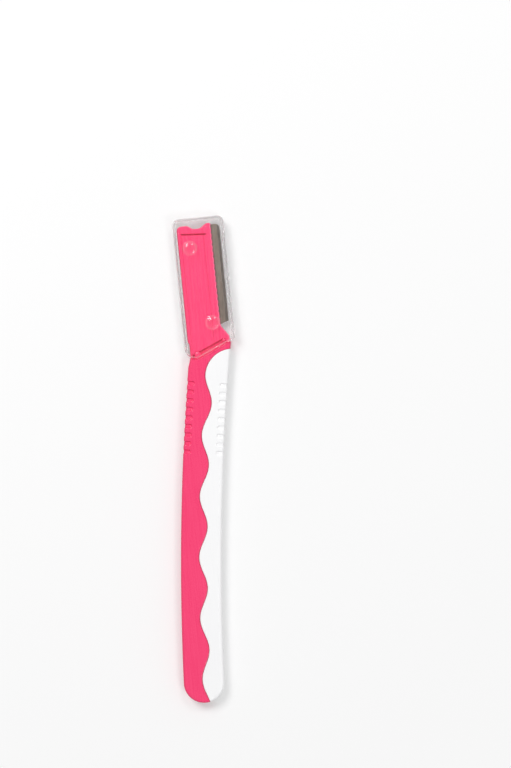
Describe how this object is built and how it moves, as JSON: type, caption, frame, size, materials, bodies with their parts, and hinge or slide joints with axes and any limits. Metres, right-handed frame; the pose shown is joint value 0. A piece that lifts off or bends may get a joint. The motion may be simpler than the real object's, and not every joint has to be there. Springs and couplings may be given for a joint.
{
  "type": "eyebrow razor",
  "caption": "Slim plastic eyebrow razor with a wavy two-colour handle, a clamped steel blade along one side of its tilted head and a clear pull-off cap.",
  "frame": {"origin": "centre of the part's box at the plane it lies on, with the cap on", "axes": "+Y along the length from the handle's round end to the cap, +Z out of the front (the razor lies on its back), +X to the blade's side"},
  "size_m": [0.019, 0.1486, 0.0055],
  "materials": {
    "pink_plastic": "bright pink moulded plastic, satin gloss",
    "white_plastic": "white moulded plastic, satin gloss",
    "blade_steel": "grey stainless strip steel, brushed along its length, bright ground edge",
    "clear_plastic": "clear moulded polystyrene, glossy"
  },
  "bodies": {
    "razor": {"handle_body": "pink_plastic", "handle_wave": "white_plastic", "blade": "blade_steel", "blade_cover": "pink_plastic"},
    "cap": {"clear_cap": "clear_plastic"}
  },
  "joints": [
    {"name": "cap_pull", "type": "slide", "parent": "razor", "child": "cap", "axis": [-0.0993, 0.9951, 0], "range_m": [0, 0.045]}
  ]
}
